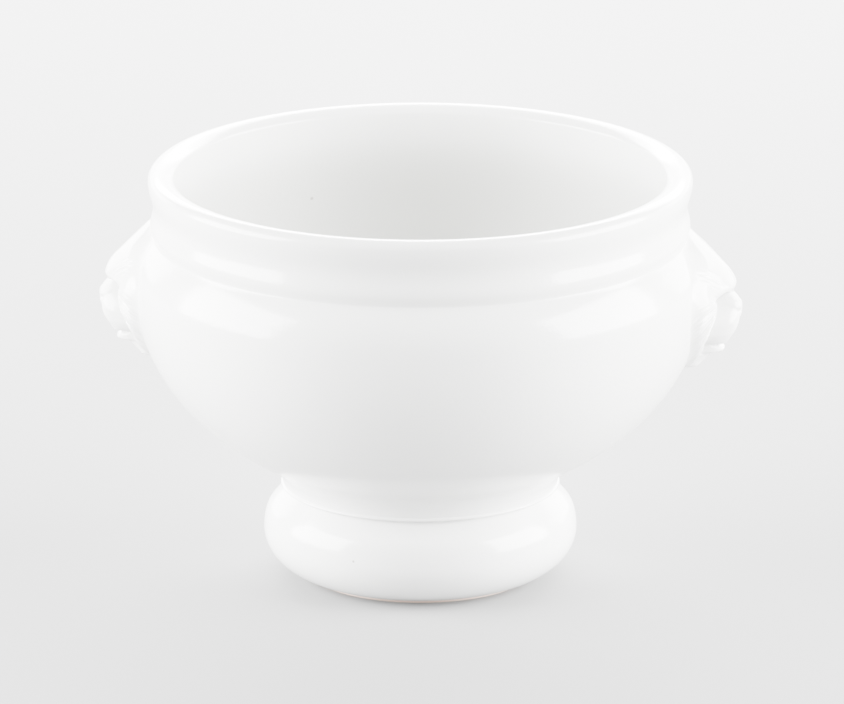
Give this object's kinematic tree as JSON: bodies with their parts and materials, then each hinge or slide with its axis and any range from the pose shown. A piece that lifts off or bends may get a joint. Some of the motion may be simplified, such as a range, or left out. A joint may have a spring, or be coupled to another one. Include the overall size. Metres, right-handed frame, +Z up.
{
  "type": "french onion soup crock",
  "caption": "White glazed soup crock: a deep round bowl with a rounded lip on a turned pedestal foot, with a lion mask at each side as a lug, for baking and serving gratinated soup.",
  "frame": {"origin": "centre of the resting ring, on the table plane", "axes": "+Z up along the bowl's axis, +X from the axis to the right-hand lion mask, +Y away from the viewer"},
  "size_m": [0.136, 0.1212, 0.0882],
  "materials": {
    "white_glaze": "smooth glossy white glaze over porcelain, with a bare clay line on the resting ring"
  },
  "bodies": {
    "root": {"bowl": "white_glaze", "pedestal_foot": "white_glaze", "lion_head_right": "white_glaze", "lion_head_left": "white_glaze"}
  },
  "joints": []
}
